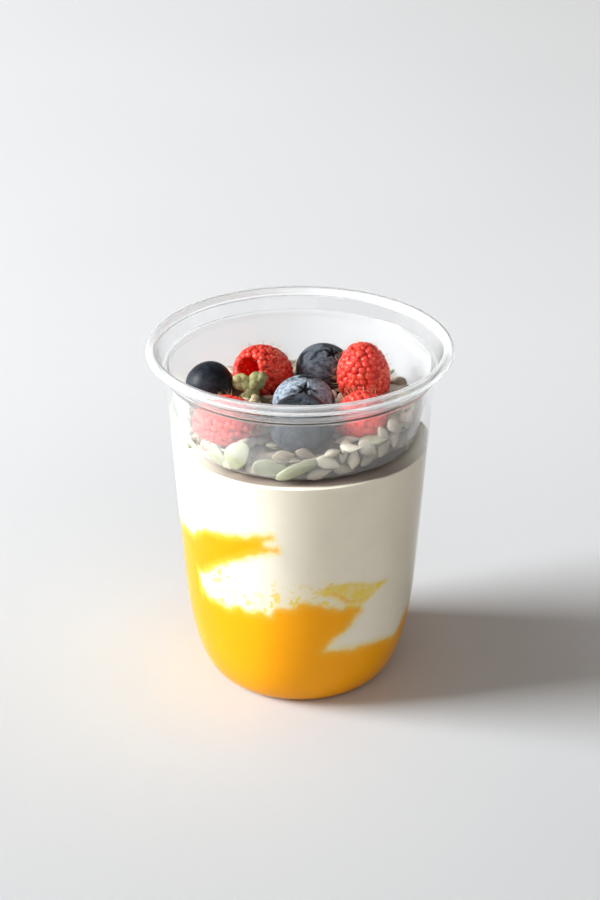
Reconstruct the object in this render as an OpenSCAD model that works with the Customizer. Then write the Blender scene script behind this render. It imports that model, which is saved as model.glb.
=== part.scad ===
// Clear round-bottomed cup of yogurt over mango puree, with a clear tray of seeds and berries in its mouth.
// Millimetres, +Z up. The origin is the centre of the foot, at the level of the surface it stands on.
// Angles round the cup are counted from its front (-Y), positive towards +X.

/* [Cup] */
// Outer diameter over the rolled rim
rim_d = 95; // [90:1:120]
// Height from the foot to the top of the rim
cup_h = 113; // [90:1:140]
// Thickness of the clear wall
cup_wall = 0.5; // [0.35:0.05:0.8]
// Diameter of the rolled bead along the rim
bead_d = 3.4; // [2.8:0.1:4.2]
// How far round the bead the sheet is rolled, in degrees
bead_turn = 300; // [240:5:310]
// Depth of the neck, from the top of the rim to the shelf that carries the tray
neck_h = 7.1; // [6:0.1:9]
// How much the neck narrows towards the shelf
neck_draft = 1.6; // [0.8:0.1:2]
// Width of the shelf
shelf_w = 1.1; // [0.8:0.1:1.6]
// Narrowing of the side wall for each millimetre of height
wall_taper = 0.072; // [0.05:0.002:0.1]
// Height at which the straight wall starts to round into the bottom
bowl_h = 39.5; // [30:0.5:50]
// Squareness of the rounded bottom, 2 being an ellipse
bowl_power = 2.5; // [2:0.1:3]
// Radius of the flat foot at its outer edge
foot_r = 23.4; // [20:0.2:27]
// Width of the foot ring
foot_w = 4.4; // [3:0.2:6]
// Rise of the base inside the foot ring
base_rise = 1.5; // [1:0.1:2.5]

/* [Tray] */
// Thickness of the tray's sheet
tray_wall = 0.45; // [0.3:0.05:0.7]
// Depth of the tray under its flange
tray_depth = 22.9; // [18:0.1:28]
// Narrowing of the tray's wall for each millimetre of depth
tray_taper = 0.21; // [0.12:0.01:0.24]
// Outside radius of the tray's bottom corner
tray_corner = 1.8; // [1:0.1:3]
// Clearance between the tray and the cup
tray_gap = 0.35; // [0.3:0.05:0.6]

/* [Filling] */
// Gap between the tray and the filling under it
fill_gap = 0.8; // [0.4:0.1:2]
// Clearance between the filling and the cup's wall
fill_fit = 0.1; // [0.05:0.05:0.3]
// Height of the mango in the middle of the cup
mango_mid_z = 36; // [28:1:44]
// How deep the swirls at the wall reach into the filling
swirl_depth = 9; // [4:0.5:14]

/* [Toppings] */
// Depth of the seeds in the middle of the tray
bed_depth = 6.4; // [5:0.2:8]
// How much higher the seeds are heaped against the right-hand wall
bed_rise = 6.5; // [0:0.5:9]
// Height of the bumps on top of the seeds
bed_bump = 0.8; // [0:0.1:1.2]
// Clearance between a topping and what it rests on
rest_gap = 0.3; // [0.2:0.05:0.5]
// Height of the drupelets of a raspberry
drupelet_h = 0.6; // [0.3:0.1:1]
// Height of the lip round a blueberry's calyx
lip_h = 0.5; // [0.2:0.1:0.8]

/* [Hidden] */
$fn = 96;

// Faces round the filling, the bed and the small spheres of the swirls and dents
fill_sides = 52;
bed_sides = 44;
bed_rings = 6;
blob_sides = 14;
stroke_sides = 10;
arc_steps = 10;

// Swirl knots: angle round the cup, then height. The mango's top edge at the wall, once round.
mango_edge = [[-180, 34], [-150, 41], [-120, 50], [-90, 55], [-68, 56.5], [-59, 53], [-55, 39], [-46, 39.5],
    [-35, 37.5], [-23, 38], [-12, 40], [-7, 38.5], [0, 42], [9, 42.5], [16, 40], [30, 38.5], [34, 22],
    [60, 19.5], [68, 24], [84, 27.5], [110, 30], [145, 32], [180, 34]];
// Swirl strokes: angle, height, half height and depth share at each station
tongue = [[-72, 51, 5, 1], [-58, 53, 5.2, 1], [-45, 55.8, 5.9, 1], [-30, 59.7, 3.6, 0.8],
    [-20, 61.8, 2.6, 0.7]];
upper_prong = [[-22, 63, 1.5, 0.5], [-17, 64.2, 1.1, 0.4], [-13.5, 65.2, 0.4, 0.2]];
lower_prong = [[-22, 60, 1.3, 0.5], [-16, 60.4, 0.9, 0.4], [-11, 60.8, 0.4, 0.2]];
wisp = [[6, 45.6, 0.4, 0.15], [13, 46.5, 2, 0.2], [25, 45.6, 2.4, 0.25], [34, 42.2, 3, 0.25],
    [45, 43.6, 0.4, 0.1]];
wisp_root = [[33, 41.5, 2, 0.3], [27, 37, 2, 0.4]];
white_tongue = [[44, 30, 8, 1.1], [36, 29.5, 7.4, 1], [28, 27, 5, 0.9], [20, 25.6, 3, 0.7],
    [12, 23.6, 0.4, 0.3]];

// Blueberries: diameter, height, spot in hundredths of the tray's radius, height of the middle over the
// tray's floor, lean and its direction
blueberries = [
    [15.8, 14.8, [-70, 7], 13.4, 75, 150],
    [18.8, 15.6, [20, 55], 9.8, 8, 120],
    [19.6, 15.8, [3, -8], 9.7, 4, 0],
    [19.4, 15.8, [1, -57], 12.9, 155, 100]];
// Raspberries: diameter, length, spot, height of the middle over the floor, lean and its direction
raspberries = [
    [18, 18.6, [-29, 42], 11.6, 96, 35],
    [17.2, 18.6, [49, 19], 14.4, 6, 200],
    [16, 16.4, [46, -44], 12, 35, 300],
    [17.4, 18.2, [-54, -41], 9.6, 82, 160]];
// Lobes of the seed cluster: place from its middle, then half sizes
cluster_lobes = [[[-2.8, 0.6, 0.9], [2.8, 2.2, 2.6]], [[2.1, 0.6, 1.4], [2.8, 2.3, 3]],
    [[0.2, -1, -2.4], [2.6, 2.3, 3]]];
cluster_spot = [-38, 2];
cluster_lift = 14.2;
drupelets_round = 10;
drupelet_rows = 6;
lip_a = 70;
tip_a = 78;
open_a = -62;
// Makes a low-count sphere or ring go round a true circle instead of inside it
snug = 1 / cos(180 / blob_sides);

rim_r = rim_d / 2;
bead_r = bead_d / 2;
bead_z = cup_h - bead_r;
neck_top_r = rim_r - bead_d + cup_wall;
neck_bot_r = neck_top_r - neck_draft;
shoulder_r = neck_bot_r - shelf_w;
shelf_z = cup_h - neck_h;
shoulder_z = shelf_z - cup_wall - shelf_w * 0.8;
foot_in_r = foot_r - foot_w;

flange_z = shelf_z + tray_gap;
flange_r = neck_bot_r - cup_wall - tray_gap;
tray_top_r = shoulder_r - cup_wall - tray_gap;
tray_bot_z = flange_z - tray_depth;
tray_bot_r = tray_top_r - tray_taper * tray_depth;
floor_z = tray_bot_z + tray_wall;
fill_z = tray_bot_z - fill_gap;
bed_r = tray_top_r - tray_wall - rest_gap;

// Radius of the cup's outside at a height, below the shoulder
function line_r(z) = shoulder_r - (shoulder_z - z) * wall_taper;
function bowl_cut(t) = (line_r(0) - foot_r) * (1 - pow(cos(t), 2 / bowl_power));
function bowl_point(t) = let (z = bowl_h * (1 - pow(sin(t), 2 / bowl_power))) [line_r(z) - bowl_cut(t), z];
function side_points() = concat([[shoulder_r, shoulder_z]],
    [for (i = [0:arc_steps]) bowl_point(90 * i / arc_steps)]);

// The same outline moved inwards by a distance, square to itself
function inward(pts, d) = [for (i = [0:len(pts) - 1])
    let (a = pts[max(0, i - 1)], b = pts[min(len(pts) - 1, i + 1)], t = b - a,
        n = i == len(pts) - 1 ? [0, 1] : [t[1], -t[0]] / norm(t))
    pts[i] + d * n];
function arc(c, r, a0, a1, n) = [for (i = [0:n]) let (a = a0 + (a1 - a0) * i / n) c + r * [cos(a), sin(a)]];
function back(pts) = [for (i = [len(pts) - 1:-1:0]) pts[i]];
function fill_r(z) = line_r(z) - cup_wall - fill_fit;

// Height at the wall between the two knots that an angle lies between, eased
function between(k, a, i = 0) = a > k[i + 1][0] && i < len(k) - 2 ? between(k, a, i + 1) :
    let (s = (a - k[i][0]) / (k[i + 1][0] - k[i][0]), e = s * s * (3 - 2 * s))
    k[i][1] + (k[i + 1][1] - k[i][1]) * e;

module cup() {
    bead = [rim_r - bead_r, bead_z];
    side = side_points();
    outside = concat(
        back(arc(bead, bead_r - cup_wall, 180, 180 - bead_turn, 2 * arc_steps)),
        [[neck_bot_r, shelf_z - cup_wall]],
        side,
        [[foot_in_r, 0], [foot_in_r - base_rise, base_rise], [0, base_rise]]);
    inside = concat(
        back(arc(bead, bead_r, 180, 180 - bead_turn, 2 * arc_steps)),
        [[neck_bot_r - cup_wall, shelf_z], [shoulder_r - cup_wall, shoulder_z + cup_wall]],
        inward(side, cup_wall),
        [[foot_in_r, cup_wall], [foot_in_r - base_rise, base_rise + cup_wall], [0, base_rise + cup_wall]]);
    color([0.93, 0.95, 0.95, 0.35])
        rotate_extrude() polygon(concat(outside, back(inside)));
}

module tray() {
    corner = [tray_bot_r - tray_corner, tray_bot_z + tray_corner];
    outside = concat([[flange_r, flange_z], [tray_top_r, flange_z]], arc(corner, tray_corner, 0, -90, 5),
        [[0, tray_bot_z]]);
    inside = concat([[flange_r, flange_z + tray_wall], [tray_top_r - tray_wall, flange_z + tray_wall]],
        arc(corner, tray_corner - tray_wall, 0, -90, 5), [[0, floor_z]]);
    color([0.93, 0.95, 0.95, 0.35])
        rotate_extrude() polygon(concat(outside, back(inside)));
}

// All that fills the cup under the tray
module filling() {
    side = inward(side_points(), cup_wall + fill_fit);
    bottom = base_rise + cup_wall + fill_fit;
    below = [for (p = side) if (p[1] < min(fill_z, bowl_h + 1)) p];
    foot = [[foot_in_r, cup_wall + fill_fit], [foot_in_r - base_rise, bottom]];
    rotate_extrude($fn = fill_sides)
        polygon(concat([[0, bottom], [0, fill_z], [fill_r(fill_z), fill_z]], below, foot));
}

// Angle of a point on a ring, half a facet on from the corners of the solid that cuts the ring off
function ring_angle(j, sides) = 360 * (j + 0.5) / sides - 180;

// Solid under a surface given ring by ring, from a centre point outwards, down to a flat base
module under_surface(rings, mid, base_z) {
    n = len(rings[0]);
    m = len(rings);
    foot = [for (p = rings[m - 1]) [p[0], p[1], base_z]];
    points = concat([mid, [0, 0, base_z]], [for (r = rings) each r], foot);
    function at(i, j) = 2 + i * n + j % n;
    faces = concat(
        [for (j = [0:n - 1]) [0, at(0, j + 1), at(0, j)]],
        [for (i = [0:m - 1]) for (j = [0:n - 1]) [at(i, j), at(i, j + 1), at(i + 1, j + 1)]],
        [for (i = [0:m - 1]) for (j = [0:n - 1]) [at(i, j), at(i + 1, j + 1), at(i + 1, j)]],
        [for (j = [0:n - 1]) [1, at(m, j), at(m, j + 1)]]);
    polyhedron(points, faces);
}

function round_cup(r, a, z) = [r * sin(a), -r * cos(a), z];

// Main body of mango: its top runs from the knots at the wall to the middle
module mango_base() {
    reach = rim_r;
    shares = [0.3, 0.6, 0.8, 1];
    wall_r = line_r(bowl_h);
    rings = [for (s = shares) [for (j = [0:fill_sides - 1])
        let (a = ring_angle(j, fill_sides))
        round_cup(s * wall_r, a, mango_mid_z + (between(mango_edge, a) - mango_mid_z) * s * s)]];
    rim = [[for (j = [0:fill_sides - 1])
        let (a = ring_angle(j, fill_sides)) round_cup(reach, a, between(mango_edge, a))]];
    under_surface(concat(rings, rim), [0, 0, mango_mid_z], -1);
}

// A stroke of one food into the other along the wall, as hulls between flattened blobs
module stroke(stations) {
    for (i = [0:len(stations) - 2])
        hull() {
            blob(stations[i]);
            blob(stations[i + 1]);
        }
}

module blob(s) {
    rotate([0, 0, s[0]])
        translate([0, -line_r(s[1]), s[1]])
            scale([s[2], max(0.6, s[3] * swirl_depth), s[2]])
                sphere(1, $fn = stroke_sides);
}

module mango_shape() {
    difference() {
        mango_base();
        stroke(white_tongue);
    }
    stroke(tongue);
    stroke(upper_prong);
    stroke(lower_prong);
    stroke(wisp);
    stroke(wisp_root);
}

module mango() {
    color([0.98, 0.7, 0.1])
        intersection() {
            filling();
            mango_shape();
        }
}

module yogurt() {
    color([0.98, 0.97, 0.93])
        difference() {
            filling();
            mango_shape();
        }
}

function spot_at(spot, lift) = [spot[0] * bed_r / 100, spot[1] * bed_r / 100, floor_z + lift];

// Puts a topping at its place, leaning over in a direction
module placed(b) {
    translate(spot_at(b[2], b[3])) rotate([0, 0, b[5]]) rotate([0, b[4], 0]) children();
}

// Half section of a blueberry, with the crater and lip of its calyx on top
module blueberry(b) {
    r = b[0] / 2;
    h = b[1] / 2;
    skin = [for (i = [0:arc_steps]) let (a = -90 + (90 + lip_a) * i / arc_steps) [r * cos(a), h * sin(a)]];
    top = h * sin(lip_a) + lip_h;
    crown = [[0.36 * r, top], [0.3 * r, top], [0.24 * r, 0.86 * h], [0, 0.82 * h]];
    color([0.17, 0.2, 0.29])
        placed(b) rotate_extrude() polygon(concat(skin, crown));
}

// Height and radius of a raspberry's outside, by angle from its widest ring to its tip or its open end
function raspberry_r(b, a) = max(0, b[0] / 2 * pow(cos(a), 0.85) - drupelet_h);
function raspberry_z(b, a) = b[1] * (a > 0 ? 0.58 : 0.42) * sin(a) / (a > 0 ? 1 : -sin(open_a));

module raspberry(b) {
    n = 2 * drupelets_round;
    rows = 2 * drupelet_rows;
    // Crests and dips alternate round a ring, and each row is shifted by half a drupelet
    rings = [for (i = [0:rows])
        let (a = tip_a + (open_a - tip_a) * i / rows, r = raspberry_r(b, a), z = raspberry_z(b, a))
        [for (j = [0:n - 1])
            let (up = i % 2 == 1 && (j + (i - 1) / 2) % 2 == 0 ? drupelet_h : 0, t = 360 * j / n)
            [(r + up * cos(a)) * cos(t), (r + up * cos(a)) * sin(t), z + up * sin(a)]]];
    mouth = [for (s = [[0.62, 0.06], [0.5, 0.3], [0.28, 0.5]])
        [for (j = [0:n - 1]) let (t = 360 * j / n, r = raspberry_r(b, open_a) * s[0])
            [r * cos(t), r * sin(t), raspberry_z(b, open_a) + s[1] * b[1]]]];
    all_rings = concat(rings, mouth);
    m = len(all_rings);
    tip = [0, 0, raspberry_z(b, 90) - drupelet_h / 2];
    well = [0, 0, raspberry_z(b, open_a) + 0.56 * b[1]];
    points = concat([tip, well], [for (r = all_rings) each r]);
    function at(i, j) = 2 + i * n + j % n;
    faces = concat(
        [for (j = [0:n - 1]) [0, at(0, j + 1), at(0, j)]],
        [for (i = [0:m - 2]) for (j = [0:n - 1]) [at(i, j), at(i, j + 1), at(i + 1, j + 1)]],
        [for (i = [0:m - 2]) for (j = [0:n - 1]) [at(i, j), at(i + 1, j + 1), at(i + 1, j)]],
        [for (j = [0:n - 1]) [1, at(m - 1, j), at(m - 1, j + 1)]]);
    color([0.86, 0.16, 0.14])
        placed(b) polyhedron(points, faces);
}

// A few hulled seeds stuck together
module seed_cluster() {
    color([0.6, 0.62, 0.33])
        translate(spot_at(cluster_spot, cluster_lift))
            for (lobe = cluster_lobes) hull() lobe_at(lobe, 0);
}

module lobe_at(lobe, extra) {
    translate(lobe[0])
        scale(lobe[1] + [extra, extra, extra])
            sphere(1, $fn = blob_sides);
}

// The dents that the toppings leave in the seeds
module blueberry_dent(b) {
    r = b[0] / 2 + rest_gap;
    h = b[1] / 2 + rest_gap;
    hull() placed(b) {
        scale(snug * [r, r, h]) sphere(1, $fn = blob_sides);
        cylinder(r = 0.36 * r * snug, h = h * sin(lip_a) + lip_h + rest_gap, $fn = blob_sides);
    }
}

module raspberry_dent(b) {
    skin = drupelet_h + rest_gap;
    outline = [for (a = [open_a, -45, -25, 0, 30, 60, 90])
        [snug * (raspberry_r(b, a) + skin), raspberry_z(b, a) + skin * sin(a)]];
    low = raspberry_z(b, open_a) - skin;
    high = raspberry_z(b, 90) + skin;
    hull() placed(b)
        rotate_extrude($fn = blob_sides) polygon(concat([[0, low]], outline, [[0, high]]));
}

function bed_top(share, a) =
    floor_z + bed_depth + bed_rise * pow(max(0, cos(a - 75)), 2) * share * share
    + bed_bump * share * (sin(5 * a + 40 * share) + sin(11 * a + 190 * share) * 0.7)
    + bed_bump * cos(430 * share) * 0.6;

// The heap of seeds in the tray, out to its uneven top, with dents under the toppings
module seed_bed() {
    shares = [for (i = [1:bed_rings]) i / bed_rings];
    base_r = tray_bot_r - tray_corner;
    rings = [for (s = shares) [for (j = [0:bed_sides - 1])
        let (a = ring_angle(j, bed_sides)) round_cup(s * bed_r, a, bed_top(s, a))]];
    color([0.74, 0.7, 0.58])
        difference() {
            intersection() {
                under_surface(rings, [0, 0, bed_top(0, 0)], floor_z);
                rotate_extrude($fn = bed_sides) polygon([[0, floor_z + rest_gap],
                    [base_r, floor_z + rest_gap],
                    [tray_bot_r - tray_wall - rest_gap, tray_bot_z + tray_corner],
                    [bed_r, flange_z], [0, flange_z]]);
            }
            for (b = blueberries) blueberry_dent(b);
            for (b = raspberries) raspberry_dent(b);
            translate(spot_at(cluster_spot, cluster_lift))
                for (lobe = cluster_lobes) hull() lobe_at(lobe, rest_gap);
        }
}

cup();
tray();
yogurt();
mango();
seed_bed();
for (i = [0:len(blueberries) - 1])
    blueberry(blueberries[i]);
for (i = [0:len(raspberries) - 1])
    raspberry(raspberries[i]);
seed_cluster();
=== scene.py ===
import math
import random

import bmesh
import bpy
import numpy as np
from mathutils import Matrix, Vector
from mathutils.bvhtree import BVHTree


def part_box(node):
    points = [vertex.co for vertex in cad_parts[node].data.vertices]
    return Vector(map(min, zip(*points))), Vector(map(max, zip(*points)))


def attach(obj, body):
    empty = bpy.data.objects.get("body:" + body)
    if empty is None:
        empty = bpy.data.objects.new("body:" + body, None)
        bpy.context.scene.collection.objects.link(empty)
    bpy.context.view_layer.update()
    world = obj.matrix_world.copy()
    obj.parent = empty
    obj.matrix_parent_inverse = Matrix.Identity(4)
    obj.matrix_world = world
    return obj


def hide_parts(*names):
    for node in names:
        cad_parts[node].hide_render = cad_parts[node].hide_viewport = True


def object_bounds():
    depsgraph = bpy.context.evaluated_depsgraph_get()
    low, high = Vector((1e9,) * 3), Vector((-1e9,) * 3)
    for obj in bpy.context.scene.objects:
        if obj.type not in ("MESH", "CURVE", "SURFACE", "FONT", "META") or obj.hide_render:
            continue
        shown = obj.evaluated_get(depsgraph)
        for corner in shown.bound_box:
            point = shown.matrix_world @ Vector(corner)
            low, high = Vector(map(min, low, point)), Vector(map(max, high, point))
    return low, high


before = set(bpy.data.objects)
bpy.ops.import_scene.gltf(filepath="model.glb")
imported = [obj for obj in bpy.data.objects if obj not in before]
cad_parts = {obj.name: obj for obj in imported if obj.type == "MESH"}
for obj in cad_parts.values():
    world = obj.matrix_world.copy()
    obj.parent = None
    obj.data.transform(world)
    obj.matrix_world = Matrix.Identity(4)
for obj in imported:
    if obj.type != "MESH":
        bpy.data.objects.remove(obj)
cadLow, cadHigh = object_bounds()
mm = 0.001
weldReach = 5e-6  # joins the points where the rows of a berry or a kernel close


def addObject(name, data):
    obj = bpy.data.objects.new(name, data)
    bpy.context.scene.collection.objects.link(obj)
    return obj


def newObject(name, verts, faces, nodes=(), material=None, sharpAngle=None):
    mesh = bpy.data.meshes.new(name)
    mesh.from_pydata([tuple(v) for v in verts], [], [tuple(f) for f in faces])
    mesh.update()
    obj = addObject(name, mesh)
    finishObject(obj, nodes, material, sharpAngle)
    return obj


def finishObject(obj, nodes=(), material=None, sharpAngle=None):
    smoothAll(obj)
    if sharpAngle:
        obj.data.set_sharp_from_angle(angle=math.radians(sharpAngle))
    if material:
        obj.data.materials.clear()
        obj.data.materials.append(material)
    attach(obj, "root")
    if nodes:
        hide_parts(*nodes)


def smoothAll(obj):
    obj.data.polygons.foreach_set("use_smooth", [True] * len(obj.data.polygons))


def closeMesh(obj, reach=1e-7):
    # joins the vertices that coincide and turns every face outwards
    mesh = bmesh.new()
    mesh.from_mesh(obj.data)
    bmesh.ops.remove_doubles(mesh, verts=mesh.verts, dist=reach)
    bmesh.ops.recalc_face_normals(mesh, faces=mesh.faces)
    if mesh.calc_volume(signed=True) < 0:
        bmesh.ops.reverse_faces(mesh, faces=mesh.faces)
    mesh.to_mesh(obj.data)
    mesh.free()
    smoothAll(obj)


def applyModifier(obj, kind, **settings):
    modifier = obj.modifiers.new(kind, kind)
    for key, value in settings.items():
        setattr(modifier, key, value)
    depsgraph = bpy.context.evaluated_depsgraph_get()
    result = bpy.data.meshes.new_from_object(obj.evaluated_get(depsgraph))
    obj.modifiers.clear()
    obj.data = result


def newRow(verts, count):
    # the numbers that the next vertices will have
    return list(range(len(verts), len(verts) + count))


def spin(profile, sides):
    # turns an outline round the axis; a point on the axis becomes one vertex
    angles = np.arange(sides) * 2 * math.pi / sides
    verts, rows = [], []
    for r, z in profile:
        if r < 1e-7:
            rows.append([len(verts)] * sides)
            verts.append((0, 0, z))
        else:
            rows.append(newRow(verts, sides))
            verts += [(r * math.sin(a), -r * math.cos(a), z) for a in angles]
    return verts, rows


def skin(rows, closed=False):
    # faces between rows of vertices, with the corners that coincide dropped
    faces = []
    pairs = list(zip(rows, rows[1:])) + ([(rows[-1], rows[0])] if closed else [])
    for low, high in pairs:
        n = len(low)
        for j in range(n):
            quad = [low[j], low[(j + 1) % n], high[(j + 1) % n], high[j]]
            corners = list(dict.fromkeys(quad))
            if len(corners) > 2:
                faces.append(corners)
    return faces


def arcPoints(centre, radius, start, end, steps):
    turn = [math.radians(start + (end - start) * i / steps) for i in range(steps + 1)]
    return [(centre[0] + radius * math.cos(a), centre[1] + radius * math.sin(a)) for a in turn]


def roundCorners(points, size, least=12, steps=4):
    # replaces each sharp corner of an open outline by a small curve
    out = [points[0]]
    for before, corner, after in zip(points, points[1:], points[2:]):
        a, b, c = Vector(before), Vector(corner), Vector(after)
        u, v = a - b, c - b
        if u.length < 1e-9 or v.length < 1e-9 or math.degrees(math.pi - u.angle(v)) < least:
            out.append(corner)
            continue
        cut = min(size, 0.45 * u.length, 0.45 * v.length)
        first, last = b + u.normalized() * cut, b + v.normalized() * cut
        for i in range(steps + 1):
            t = i / steps
            p = first * (1 - t) ** 2 + b * 2 * t * (1 - t) + last * t ** 2
            out.append((p.x, p.y))
    return out + [points[-1]]


def spaced(points, step):
    # puts further points along an outline so that no stretch is longer than step
    out = [points[0]]
    for p, q in zip(points, points[1:]):
        n = max(1, math.ceil(math.dist(p, q) / step))
        out += [(p[0] + (q[0] - p[0]) * i / n, p[1] + (q[1] - p[1]) * i / n) for i in range(1, n + 1)]
    return out


def smoothStep(low, high, x):
    t = np.clip((np.asarray(x, float) - low) / (high - low), 0, 1)
    return t * t * (3 - 2 * t)


def addAttribute(obj, name, values):
    layer = obj.data.attributes.new(name, "FLOAT", "POINT")
    layer.data.foreach_set("value", np.asarray(values, np.float32))


def getPoints(obj):
    co = np.zeros(len(obj.data.vertices) * 3, np.float32)
    obj.data.vertices.foreach_get("co", co)
    return co.reshape(-1, 3).astype(float)


def setPoints(obj, p):
    obj.data.vertices.foreach_set("co", p.astype(np.float32).ravel())
    obj.data.update()


def addPart(heap, verts, faces, tone):
    # adds one small body to the vertices, faces and tones of a piece that holds many
    allVerts, allFaces, tones = heap
    start = len(allVerts)
    allVerts += verts
    allFaces += [[start + i for i in f] for f in faces]
    tones += [tone] * len(verts)


def makeMany(name, heap, nodes, material):
    verts, faces, tones = heap
    obj = newObject(name, verts, faces, nodes, material)
    addAttribute(obj, "tone", tones)
    closeMesh(obj, weldReach)
    print(name, len(obj.data.polygons), "faces")


def waves(p, scale, seed, count=7):
    # smooth wavy noise of about -1 to 1, the same each run
    rng = np.random.RandomState(seed)
    total = np.zeros(len(p))
    for _ in range(count):
        way = rng.normal(size=3)
        total += np.sin(p @ (way / np.linalg.norm(way)) * rng.uniform(0.6, 1.5) / scale + rng.uniform(0, 6.3))
    return total / math.sqrt(count) / 1.2


def newMaterial(name):
    mat = bpy.data.materials.new(name)
    mat.use_nodes = True
    tree = mat.node_tree
    tree.nodes.clear()
    out = tree.nodes.new("ShaderNodeOutputMaterial")
    shader = tree.nodes.new("ShaderNodeBsdfPrincipled")
    tree.links.new(shader.outputs["BSDF"], out.inputs["Surface"])
    return mat, tree, shader


def setInputs(tree, node, inputs):
    # a socket is linked, and anything else is set as the value
    for key, value in inputs.items():
        if isinstance(value, bpy.types.NodeSocket):
            tree.links.new(value, node.inputs[key])
        else:
            node.inputs[key].default_value = value


def addNode(tree, kind, inputs=None, **settings):
    node = tree.nodes.new("ShaderNode" + kind)
    for key, value in settings.items():
        setattr(node, key, value)
    setInputs(tree, node, inputs or {})
    return node


def objectPlace(tree):
    return addNode(tree, "TexCoord").outputs["Object"]


def alongAxis(tree, axis):
    return addNode(tree, "SeparateXYZ", {"Vector": objectPlace(tree)}).outputs[axis]


def attribute(tree, name):
    return addNode(tree, "Attribute", attribute_name=name).outputs["Fac"]


def noise(tree, scale, detail, rough=0.5, distortion=0.0):
    inputs = {"Vector": objectPlace(tree), "Scale": scale, "Detail": detail, "Roughness": rough,
              "Distortion": distortion}
    return addNode(tree, "TexNoise", inputs).outputs["Fac"]


def bumpFrom(tree, height, strength, distance):
    inputs = {"Strength": strength, "Distance": distance, "Height": height}
    return addNode(tree, "Bump", inputs).outputs["Normal"]


def mixColours(tree, share, a, b, blend="MIX"):
    return addNode(tree, "Mix", {0: share, 6: a, 7: b}, data_type="RGBA", blend_type=blend).outputs[2]


def between(tree, value, low, high, toLow=0.0, toHigh=1.0):
    inputs = {"Value": value, "From Min": low, "From Max": high, "To Min": toLow, "To Max": toHigh}
    return addNode(tree, "MapRange", inputs, interpolation_type="SMOOTHSTEP").outputs["Result"]


def maths(tree, operation, a, b):
    return addNode(tree, "Math", {0: a, 1: b}, operation=operation).outputs[0]


def swing(tree, value, size):
    # noise of 0 to 1 as a swing to both sides of 0
    return maths(tree, "MULTIPLY", maths(tree, "SUBTRACT", value, 0.5), size)


def shadeColour(tree, colour, level):
    grey = addNode(tree, "CombineColor", {0: level, 1: level, 2: level}).outputs[0]
    return mixColours(tree, 1.0, colour, grey, "MULTIPLY")


def newGroup(name, inputs, outputs):
    group = bpy.data.node_groups.new(name, "ShaderNodeTree")
    for label, kind, value in inputs:
        socket = group.interface.new_socket(label, in_out="INPUT", socket_type=kind)
        socket.default_value = value
    for label, kind in outputs:
        group.interface.new_socket(label, in_out="OUTPUT", socket_type=kind)
    return group, group.nodes.new("NodeGroupInput"), group.nodes.new("NodeGroupOutput")


def useGroup(tree, group, inputs):
    node = tree.nodes.new("ShaderNodeGroup")
    node.node_tree = group
    setInputs(tree, node, inputs)
    return node


# uneven colour and relief for any food surface: detail and roughness of the noises, and the relief's depth
unevenShape = {"patches": (4.0, 0.6), "grain": (3.0, 0.6), "patchGain": 4.0, "relief": 0.0003}


def makeUnevenGroup():
    group, given, result = newGroup(
        "unevenFood",
        [("Colour", "NodeSocketColor", (1, 1, 1, 1)), ("Patch Size", "NodeSocketFloat", 300.0),
         ("Grain Size", "NodeSocketFloat", 2500.0), ("Patch Depth", "NodeSocketFloat", 0.2),
         ("Bump", "NodeSocketFloat", 0.2)],
        [("Colour", "NodeSocketColor"), ("Normal", "NodeSocketVector")])
    s = unevenShape
    patches = noise(group, given.outputs["Patch Size"], *s["patches"])
    grain = noise(group, given.outputs["Grain Size"], *s["grain"])
    patchSwing = swing(group, patches, given.outputs["Patch Depth"])
    level = maths(group, "ADD", maths(group, "MULTIPLY", patchSwing, s["patchGain"]), 1.0)
    group.links.new(shadeColour(group, given.outputs["Colour"], level), result.inputs["Colour"])
    relief = bumpFrom(group, grain, given.outputs["Bump"], s["relief"])
    group.links.new(relief, result.inputs["Normal"])
    return group


unevenFood = makeUnevenGroup()


def coverUneven(tree, shader, colour, cover, rough):
    uneven = useGroup(tree, unevenFood, {"Colour": colour, **cover})
    setInputs(tree, shader, {"Base Color": uneven.outputs["Colour"], "Normal": uneven.outputs["Normal"],
                             "Roughness": rough})


clearSettings = {"tint": (0.995, 0.997, 0.997, 1), "rough": 0.03, "letThrough": (0.95, 0.955, 0.955, 1),
                 "cupClear": 1.0, "rimClear": 0.80, "trayClear": 0.905,
                 "rimIor": 1.45, "wallIor": 1.16, "trayIor": 1.28,
                 "cloud": (60.0, 3.0), "cloudRange": (0.3, 0.7), "roughRange": (0.5, 1.6),
                 "flow": (22.0, 1.0), "flowStrength": 0.12, "flowDepth": 0.002}


def makeClearPlastic(name, clear, ior):
    # lamps reach the food through it, so that it casts only a faint shadow
    s = clearSettings
    mat, tree, shader = newMaterial(name)
    surface = shader.outputs["BSDF"].links[0].to_socket
    roughRange = [share * s["rough"] for share in s["roughRange"]]
    setInputs(tree, shader, {
        "Base Color": s["tint"], "IOR": ior, "Transmission Weight": clear,
        "Roughness": between(tree, noise(tree, *s["cloud"]), *s["cloudRange"], *roughRange),
        "Normal": bumpFrom(tree, noise(tree, *s["flow"]), s["flowStrength"], s["flowDepth"])})
    lightPath = addNode(tree, "LightPath")
    through = addNode(tree, "BsdfTransparent", {"Color": s["letThrough"]})
    mix = addNode(tree, "MixShader", {0: lightPath.outputs["Is Shadow Ray"],
                                      1: shader.outputs["BSDF"], 2: through.outputs["BSDF"]})
    tree.links.new(mix.outputs["Shader"], surface)
    return mat


cupShape = {"wall": 0.5, "bead": 3.4, "beadTurn": 300, "neckHeight": 7.1, "neckDraft": 1.6, "shelf": 1.1,
            "taper": 0.072, "bowlHeight": 39.5, "bowlPower": 2.5, "footRadius": 23.4, "footWidth": 4.4,
            "baseRise": 1.5, "cornerRound": 0.5, "sharpAngle": 50, "sides": 208}


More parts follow.
